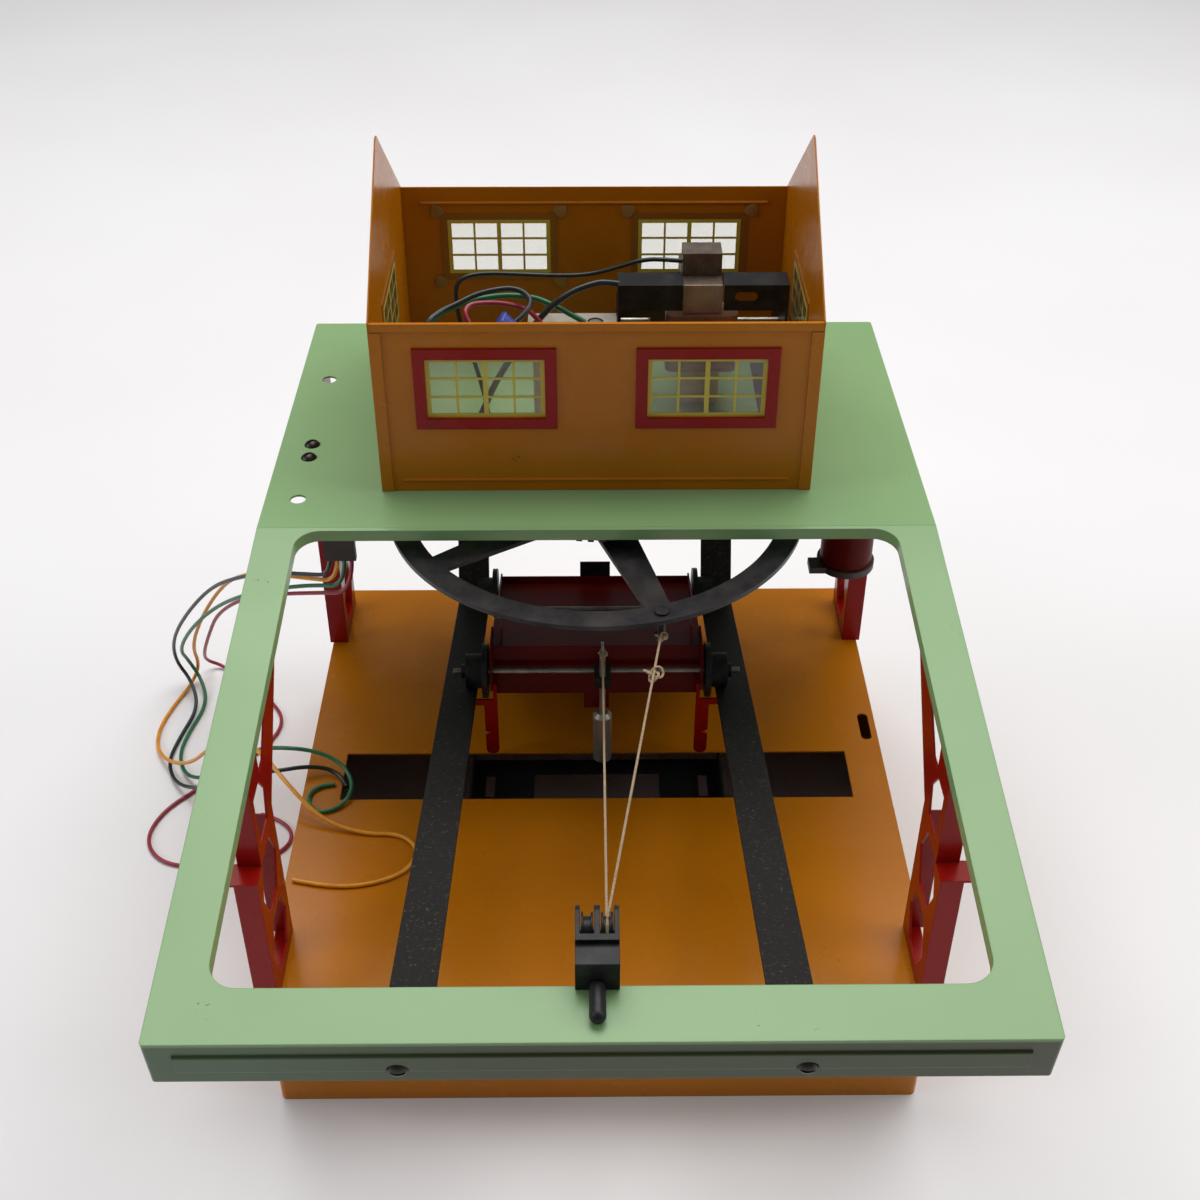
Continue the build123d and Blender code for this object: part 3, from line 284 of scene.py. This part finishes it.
# ------------------------------------------------------------- bright metal
# Dull plated steel, brass and the motor's iron stampings, which lie one on another.
def metal(name, colour, dark, rough):
    mat, tree, shader, add = material(name)
    stain = noise(add, 90.0, 6.0, 0.65)
    tone = ramp(add, stain.outputs["Fac"], 0.35, 0.7, dark, colour)
    fold = add("ShaderNodeBevel", samples=4, Radius=0.0003)
    bump = add("ShaderNodeBump", {"Height": stain.outputs["Fac"], "Normal": fold.outputs["Normal"]},
               Strength=0.3, Distance=0.0003)
    plug(tree, shader, Base_Color=tone.outputs["Color"], Normal=bump.outputs["Normal"])
    shader.inputs["Metallic"].default_value = 0.85
    shader.inputs["Roughness"].default_value = rough


metal("steel", (0.42, 0.40, 0.36), (0.20, 0.17, 0.14), 0.38)
metal("brass", (0.55, 0.42, 0.20), (0.28, 0.19, 0.09), 0.40)
metal("dark_screw", (0.06, 0.055, 0.05), (0.03, 0.027, 0.024), 0.35)
metal("zinc_plate", (0.50, 0.47, 0.40), (0.36, 0.33, 0.27), 0.45)
for name, kind in slot_of.items():
    if kind in ("steel", "brass"):
        paint(kind, name)
paint("dark_screw", "drive_gear")


def iron_stampings():
    """Stampings 1 mm thick: bright cut edges on the front limb, browner above the step."""
    mat, tree, shader, add = material("iron_stampings")
    where = add("ShaderNodeTexCoord")
    wave = add("ShaderNodeTexWave", {"Vector": where.outputs["Object"]},
               Scale=300, bands_direction="X")
    stain = noise(add, 160.0, 5.0)
    line = ramp(add, wave.outputs["Fac"], 0.0, 0.35, (0.80, 0.78, 0.76), (1, 1, 1))
    low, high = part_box("motor_core")
    part = add("ShaderNodeSeparateXYZ", {0: where.outputs["Object"]})
    side = add("ShaderNodeMapRange", {"Value": part.outputs["Y"]}, clamp=True)
    side.inputs["From Min"].default_value = low.y + 0.0002
    side.inputs["From Max"].default_value = low.y + 0.0012
    bright = ramp(add, stain.outputs["Fac"], 0.3, 0.7, (0.30, 0.24, 0.19), (0.46, 0.37, 0.30))
    brown = ramp(add, stain.outputs["Fac"], 0.3, 0.7, (0.085, 0.062, 0.045), (0.16, 0.125, 0.095))
    mixed = add("ShaderNodeMix", {"Factor": side.outputs["Result"]}, data_type="RGBA")
    tree.links.new(bright.outputs["Color"], mixed.inputs[COLOUR_A])
    tree.links.new(brown.outputs["Color"], mixed.inputs[COLOUR_B])
    lined = add("ShaderNodeMix", data_type="RGBA", blend_type="MULTIPLY")
    lined.inputs["Factor"].default_value = 1.0
    tree.links.new(mixed.outputs[MIXED], lined.inputs[COLOUR_A])
    tree.links.new(line.outputs["Color"], lined.inputs[COLOUR_B])
    bump = add("ShaderNodeBump", {"Height": wave.outputs["Fac"]}, Strength=0.3, Distance=0.0002)
    plug(tree, shader, Base_Color=lined.outputs[MIXED], Normal=bump.outputs["Normal"])
    shader.inputs["Metallic"].default_value = 0.25
    shader.inputs["Roughness"].default_value = 0.42


iron_stampings()
paint("iron_stampings", "motor_core")
paint("dark_screw", "screws")
paint("zinc_plate", "motor_plate", "hanger_weight")


# ------------------------------------------------------------- fibre and windings
# Dark vulcanised fibre, and varnished copper wire wound in close turns.
def plain(name, colour, dark, rough, scale=60.0, wound=None):
    mat, tree, shader, add = material(name)
    cloud = noise(add, scale, 4.0)
    tone = ramp(add, cloud.outputs["Fac"], 0.35, 0.7, dark, colour)
    height = cloud.outputs["Fac"]
    if wound:
        where = add("ShaderNodeTexCoord")
        wave = add("ShaderNodeTexWave", {"Vector": where.outputs["Object"]},
                   Scale=wound, bands_direction="Z")
        height = wave.outputs["Fac"]
    bump = add("ShaderNodeBump", {"Height": height}, Strength=0.5 if wound else 0.15, Distance=0.0003)
    plug(tree, shader, Base_Color=tone.outputs["Color"], Normal=bump.outputs["Normal"])
    shader.inputs["Roughness"].default_value = rough


plain("fibre", (0.035, 0.027, 0.022), (0.015, 0.012, 0.010), 0.5)
plain("copper_winding", (0.32, 0.12, 0.05), (0.14, 0.05, 0.025), 0.35, wound=400)
for name, kind in slot_of.items():
    if kind in ("fibre", "copper_winding"):
        paint(kind, name)


# ------------------------------------------------------------- celluloid panes
# Clear sheets with printed yellow bars, four lights wide and three high, with a heavier
# middle bar and a border; the clear parts are a little hazy with age.
WINDOW_X = 0.041        # middle of each window of the long walls


def celluloid():
    mat, tree, shader, add = material("celluloid")
    gable_low, gable_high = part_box("cabin_gable_right")
    panes_low, panes_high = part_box("window_panes")
    half_w, half_h = 0.022, 0.0123
    mid_z = (panes_low.z + panes_high.z) / 2
    mid_y = (gable_low.y + gable_high.y) / 2
    where = add("ShaderNodeTexCoord")
    part = add("ShaderNodeSeparateXYZ", {0: where.outputs["Object"]})

    def calc(operation, a, b=None, c=None):
        node = add("ShaderNodeMath", operation=operation)
        for k, value in enumerate((a, b, c)):
            if value is None:
                continue
            if isinstance(value, (int, float)):
                node.inputs[k].default_value = value
            else:
                tree.links.new(value, node.inputs[k])
        return node.outputs[0]

    away = calc("ABSOLUTE", part.outputs["X"])
    long_wall = calc("DIVIDE", calc("SUBTRACT", away, WINDOW_X), half_w)
    end_wall = calc("DIVIDE", calc("SUBTRACT", part.outputs["Y"], mid_y), half_w)
    is_end = calc("GREATER_THAN", away, gable_high.x - 0.0013)
    on_long = calc("MULTIPLY", calc("SUBTRACT", 1.0, is_end), long_wall)
    u = calc("ADD", calc("MULTIPLY", is_end, end_wall), on_long)
    v = calc("ABSOLUTE", calc("DIVIDE", calc("SUBTRACT", part.outputs["Z"], mid_z), half_h))
    side = calc("ABSOLUTE", u)
    bars = [
        calc("COMPARE", side, 0.48, 0.020), calc("LESS_THAN", side, 0.040),
        calc("GREATER_THAN", side, 0.925), calc("COMPARE", v, 0.31, 0.036),
        calc("GREATER_THAN", v, 0.87),
    ]
    mask = bars[0]
    for bar in bars[1:]:
        mask = calc("MAXIMUM", mask, bar)
    in_light = calc("MULTIPLY", calc("LESS_THAN", side, 1.0), calc("LESS_THAN", v, 1.0))
    mask = calc("MAXIMUM", mask, calc("SUBTRACT", 1.0, in_light))
    clear = add("ShaderNodeBsdfTransparent")
    clear.inputs["Color"].default_value = (0.96, 0.96, 0.93, 1)
    haze = add("ShaderNodeBsdfTranslucent")
    haze.inputs["Color"].default_value = (0.70, 0.70, 0.65, 1)
    film = add("ShaderNodeMixShader")
    film.inputs[0].default_value = 0.08
    tree.links.new(clear.outputs[0], film.inputs[1])
    tree.links.new(haze.outputs[0], film.inputs[2])
    shine = add("ShaderNodeBsdfGlossy")
    shine.inputs["Roughness"].default_value = 0.12
    edge = add("ShaderNodeFresnel")
    edge.inputs["IOR"].default_value = 1.45
    pane = add("ShaderNodeMixShader", {0: edge.outputs[0], 1: film.outputs[0], 2: shine.outputs[0]})
    print_or_wall = ramp(add, in_light, 0.4, 0.6, (0.30, 0.105, 0.004), (0.62, 0.50, 0.06))
    tree.links.new(print_or_wall.outputs["Color"], shader.inputs["Base Color"])
    shader.inputs["Roughness"].default_value = 0.45
    shader.inputs["Transmission Weight"].default_value = 0.0
    done = add("ShaderNodeMixShader", {0: mask, 1: pane.outputs[0], 2: shader.outputs[0]})
    output = next(n for n in tree.nodes if n.type == "OUTPUT_MATERIAL")
    tree.links.new(done.outputs[0], output.inputs["Surface"])


celluloid()
paint("celluloid", "window_panes")


# ------------------------------------------------------------- lead wires
# Four soft plastic-covered wires from the terminal board, curled over the table and the
# base.
ROUTES = {
    "wire_black": [
        (-110.5, 71.8, 146), (-112, 73, 137), (-122, 78, 134), (-140, 88, 128), (-158, 104, 114),
        (-176, 122, 96), (-194, 138, 70), (-210, 156, 40), (-216, 169, 15), (-207, 162, 6),
        (-201.5, 147, 1), (-206.5, 124, 1), (-208.5, 106, 1), (-201, 89, 2.5), (-186, 77, 11),
        (-170, 58, 32), (-153, 38, 58), (-137, 27, 68), (-122, 33, 66), (-110, 33, 62.5),
        (-106, 24, 62),
    ],
    "wire_yellow": [
        (-107.5, 71.8, 146), (-109, 73, 134), (-121, 79, 131), (-139, 92, 124), (-158, 112, 110),
        (-174, 131, 90), (-191, 146, 60), (-204, 163, 28), (-205, 174, 7), (-209, 164, 1.2),
        (-214, 150, 1), (-218, 132, 1), (-216, 116, 1.6), (-207, 102, 5), (-192, 91, 14),
        (-176, 74, 40), (-158, 52, 64), (-142, 32, 76), (-127, 13, 72), (-113, 2, 64),
        (-96, -4, 62), (-80, -4, 62), (-72, -13, 62), (-76, -25, 62), (-90, -32, 62),
        (-107, -33, 62), (-121, -29, 62),
    ],
    "wire_green": [
        (-104.5, 71.8, 146), (-106, 73, 131), (-120, 80, 127), (-138, 90, 118), (-157, 106, 103),
        (-177, 125, 82), (-196, 142, 56), (-209, 158, 30), (-210, 172, 12), (-203, 166, 3.5),
        (-197.5, 150, 1), (-203, 127, 1), (-204, 110, 1), (-196.5, 94, 2), (-181, 84, 12),
        (-165, 68, 34), (-150, 50, 60), (-135, 38, 72), (-120, 38, 70), (-108, 33, 67),
        (-102, 22, 64), (-107, 11, 62), (-117, 8, 62), (-122, 17, 62), (-118, 25, 62),
        (-111, 25.5, 62),
    ],
    "wire_red": [
        (-101.5, 71.8, 146), (-103, 73, 128), (-119, 81, 122), (-138, 94, 112), (-160, 116, 94),
        (-180, 136, 70), (-191, 151, 44), (-200, 168, 20), (-203, 179, 6), (-195, 181, 1),
        (-181, 167, 1), (-166, 153, 1), (-156, 137, 1), (-161, 119, 1), (-176, 101, 1),
        (-191, 87, 1), (-204, 72, 1), (-208, 54, 1), (-199, 40, 1), (-183, 36, 1),
        (-164, 36, 1), (-147, 42, 1), (-139, 54, 1), (-146, 66, 1), (-157, 70, 1),
    ],
}
INSULATION = {
    "wire_black": ("black_insulation", (0.014, 0.022, 0.020), (0.008, 0.012, 0.011)),
    "wire_yellow": ("yellow_insulation", (0.80, 0.33, 0.015), (0.66, 0.25, 0.010)),
    "wire_green": ("green_insulation", (0.010, 0.16, 0.060), (0.006, 0.11, 0.040)),
    "wire_red": ("red_insulation", (0.34, 0.025, 0.050), (0.25, 0.015, 0.035)),
}


def tube(name, route, radius, mat):
    """An open curve along a route in millimetres, with a round section."""
    data = bpy.data.curves.new(name, "CURVE")
    data.dimensions = "3D"
    data.bevel_depth = radius
    data.bevel_resolution = 4
    data.resolution_u = 10
    data.use_fill_caps = True
    spline = data.splines.new("NURBS")
    spline.points.add(len(route) - 1)
    for point, (x, y, z) in zip(spline.points, route):
        point.co = (x / 1000, y / 1000, z / 1000, 1)
    spline.order_u = 3
    spline.use_endpoint_u = True
    data.materials.append(looks[mat])
    piece = bpy.data.objects.new(name, data)
    bpy.context.scene.collection.objects.link(piece)
    return piece


CABIN_LEADS = {
    "motor_lead_long": ("black_insulation", "black_insulation", 0.0009, [
        (35.5, 123, 255.5), (30.2, 123, 256), (19.9, 124, 256), (7.9, 126, 251), (-3.8, 128, 247),
        (-17.7, 128, 247), (-30, 126, 248.5), (-42.5, 124, 250), (-51.3, 122, 250),
        (-56.5, 120, 247), (-56, 118, 236),
        (-52, 114, 224), (-46, 108, 206), (-44, 104, 195.5),
    ]),
    "motor_lead_thick": ("black_insulation", "black_insulation", 0.0013, [
        (11, 112, 250.5), (3.7, 112, 252), (-2.3, 110, 251.4), (-8.6, 108, 249.8),
        (-14.2, 106, 247), (-19.7, 104, 243), (-30, 98, 232), (-40, 92, 218), (-46, 88, 205),
        (-52, 84, 196),
    ]),
    "black_loop": ("black_insulation", "black_insulation", 0.0011, [
        (-72, 72, 238), (-65, 80, 250), (-60, 88, 251), (-53.7, 92, 252), (-46.9, 96, 254),
        (-39.9, 98, 255), (-33.4, 100, 255), (-27.9, 98, 254.5), (-24.4, 94, 252),
        (-28.2, 88, 248.5), (-33, 85, 246),
    ]),
    "green_loop": ("green_insulation", "green_insulation", 0.0011, [
        (-70, 90, 236), (-65, 96, 242.7), (-58.3, 102, 244.8), (-50.5, 106, 246.3), (-41.9, 108, 247.4),
        (-33.3, 110, 247.2), (-23.8, 110, 246), (-17.4, 108, 244), (-12, 106, 242), (-4, 104, 238),
    ]),
    "red_loop": ("red_insulation", "red_insulation", 0.0010, [
        (-44, 80, 240), (-48.5, 84, 247.8), (-50.3, 86, 251), (-49.3, 90, 252.4), (-44.8, 92, 252.6),
        (-37.2, 94, 251.6), (-30.4, 96, 249.3), (-25, 98, 246), (-21, 98, 240),
    ]),
}
for name, route in ROUTES.items():
    slot, colour, dark = INSULATION[name]
    plain(slot, colour, dark, 0.32, scale=200.0)
    piece = tube(name + "_lead", route, 0.0009, slot)
    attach(piece, "tower")
    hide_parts(name)


# The motor's own leads, looped inside the cabin and joined under a blue wire nut.
for name, (look, slot, radius, route) in CABIN_LEADS.items():
    piece = tube(name, route, radius, look)
    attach(piece, "tower")


def nut(u, v):
    """Six-lobed cone: r = 4.6 (1 - 0.45 u)(1 + 0.06 cos 6a) mm along an 11 mm slanting axis."""
    a = -2 * np.pi * v
    closing = np.clip(np.minimum(u / 0.02, (1 - u) / 0.06), 0, 1) ** 0.5
    r = 0.0046 * (1 - 0.45 * u) * (1 + 0.06 * np.cos(6 * a)) * closing
    along = 0.011 * (u - 0.5)
    return (-0.0330 + 0.80 * along + 0.60 * r * np.cos(a), 0.084 + r * np.sin(a),
            0.2455 - 0.60 * along + 0.80 * r * np.cos(a))


plain("blue_nut", (0.030, 0.065, 0.42), (0.022, 0.050, 0.34), 0.35)
parametric("wire_nut", nut, 40, 48, "blue_nut", "tower", closed_v=True)


# ------------------------------------------------------------- cement dots
# Old brown cement holds the two sheets of the back wall at their corners, on the cabin's inside.
def cement_dot(centre, normal):
    """Flat dome: radius 2.9 mm with a wavy edge, standing 0.7 mm off the wall."""
    def surface(u, v):
        a = 2 * np.pi * v * normal[2]
        r = 0.0029 * np.sin(np.pi * u) * (1 + 0.12 * np.sin(3 * a + centre[0] * 900))
        out = 0.0007 * (1 - u) ** 0.7 - 0.0001
        if normal[0]:
            return centre[0] + normal[0] * out, centre[1] + r * np.cos(a), centre[2] + r * np.sin(a)
        return centre[0] + r * np.cos(a), centre[1] + normal[1] * out, centre[2] + r * np.sin(a)
    return surface


plain("cement", (0.36, 0.19, 0.055), (0.25, 0.12, 0.03), 0.25)
pane_low, pane_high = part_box("window_panes")
pane_middle = (pane_low.z + pane_high.z) / 2
DOT_ASIDE, DOT_ABOVE = 0.0265, 0.0163     # from a window's middle to its dots
dot_z = (pane_middle - DOT_ABOVE, pane_middle + DOT_ABOVE)
for window, window_x in enumerate((-WINDOW_X, WINDOW_X)):
    for corner, (dx, z) in enumerate((dx, z) for dx in (-DOT_ASIDE, DOT_ASIDE) for z in dot_z):
        place = (window_x + dx, pane_high.y - 0.0002, z)
        parametric(f"cement_back_{window}_{corner}", cement_dot(place, (0, -1, 1)), 12, 24,
                   "cement", "tower", closed_v=True)


# ------------------------------------------------------------- strings
# Twisted cotton string in two lengths: from the crank pin over the sheave, and from the
# sheave back to the draw rod's eye, each knotted at its end.
def cotton():
    mat, tree, shader, add = material("string")
    fibre = noise(add, 1500.0, 4.0)
    tone = ramp(add, fibre.outputs["Fac"], 0.3, 0.75, (0.22, 0.14, 0.065), (0.50, 0.37, 0.22))
    bump = add("ShaderNodeBump", {"Height": fibre.outputs["Fac"]}, Strength=0.4, Distance=0.0002)
    plug(tree, shader, Base_Color=tone.outputs["Color"], Normal=bump.outputs["Normal"])
    shader.inputs["Roughness"].default_value = 0.9
    shader.inputs["Sheen Weight"].default_value = 0.3


cotton()


def twisted(name, start, end, radius, pitch, steps, body):
    """Two-strand twist: section lobes turn about the line from start to end.

    r(u, a) = radius (0.78 + 0.22 |cos(a)|), turned by 2 pi u length / pitch.
    """
    start, end = np.array(start, float), np.array(end, float)
    along = end - start
    length = np.linalg.norm(along)
    t = along / length
    n = np.cross(t, (0, 0, 1))
    n /= np.linalg.norm(n)
    b = np.cross(t, n)

    def surface(u, v):
        angle = -2 * np.pi * v
        r = radius * (0.78 + 0.22 * np.abs(np.cos(angle)))
        turned = angle + 2 * np.pi * u * length / pitch
        taper = np.clip(np.minimum(u, 1 - u) * (steps - 1), 0, 1)
        centre = start[:, None, None] + along[:, None, None] * u
        out = n[:, None, None] * np.cos(turned) + b[:, None, None] * np.sin(turned)
        return tuple(centre + out * r * taper)

    return parametric(name, surface, steps, 12, "string", body, closed_v=True)


pin_low, pin_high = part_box("crank_pin")
sheave_low, sheave_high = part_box("pulley_sheaves")
line_low, line_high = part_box("string_drive")
trolley_low, trolley_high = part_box("string_trolley")
sheave_mid = (sheave_low + sheave_high) / 2
STRING_R = 0.00045
TWIST = 0.0024          # length of one full turn of the strands
WRAP_R = 0.0048         # sheave centre to the string's middle line
sheave_x = line_low.x + STRING_R
top = (sheave_x, sheave_mid.y, sheave_mid.z + WRAP_R)
pin_mid = (pin_low + pin_high) / 2
tied = (pin_mid.x, line_high.y, pin_low.z + 0.0028)
drive_string = twisted("drive_string", tied, top, STRING_R, TWIST, 420, "tower")
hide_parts("string_drive")


def wrap(u, v):
    """Half ring round the sheave, radius WRAP_R: from its top to its underside."""
    bend = np.pi / 2 + np.pi * u
    r = WRAP_R + STRING_R * np.cos(2 * np.pi * v)
    x = sheave_x + STRING_R * np.sin(2 * np.pi * v)
    return x, sheave_mid.y + r * np.cos(bend), sheave_mid.z + r * np.sin(bend)


parametric("string_wrap", wrap, 40, 12, "string", "tower", closed_v=True)
low_end = (sheave_x, sheave_mid.y + 0.0002, sheave_mid.z - WRAP_R)
eye = ((trolley_low.x + trolley_high.x) / 2 + 0.0005, trolley_high.y, trolley_low.z + STRING_R)
trolley_string = twisted("trolley_string", eye, low_end, STRING_R, TWIST, 520, None)
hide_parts("string_trolley")
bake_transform(trolley_string)


def knot(name, centre, size, body):
    """Trefoil tube: x = sin t + 2 sin 2t, y = cos t - 2 cos 2t, z = -sin 3t."""
    def surface(u, v):
        t = 2 * np.pi * u
        path = np.stack([np.sin(t) + 2 * np.sin(2 * t), np.cos(t) - 2 * np.cos(2 * t),
                         -np.sin(3 * t)])
        along = np.stack([np.cos(t) + 4 * np.cos(2 * t), -np.sin(t) + 4 * np.sin(2 * t),
                          -3 * np.cos(3 * t)])
        along /= np.linalg.norm(along, axis=0)
        side = np.cross(along, np.array([0.3, 0.2, 1.0])[:, None, None], axis=0)
        side /= np.linalg.norm(side, axis=0)
        other = np.cross(along, side, axis=0)
        ring = side * np.cos(2 * np.pi * v) + other * np.sin(2 * np.pi * v)
        points = np.array(centre)[:, None, None] + path * size / 3 + ring * STRING_R
        return tuple(points)

    return parametric(name, surface, 90, 10, "string", body, closed_u=True, closed_v=True)


knot("pin_knot", (tied[0], tied[1] - 0.001, tied[2] - 0.001), 0.0022, "tower")
slack = [tied[k] + 0.17 * (top[k] - tied[k]) for k in range(3)]
knot("slack_knot", (slack[0], slack[1], slack[2] - 0.0005), 0.0036, "tower")
knot("eye_knot", (eye[0], eye[1] - 0.0005, eye[2] - 0.001), 0.0018, "trolley")
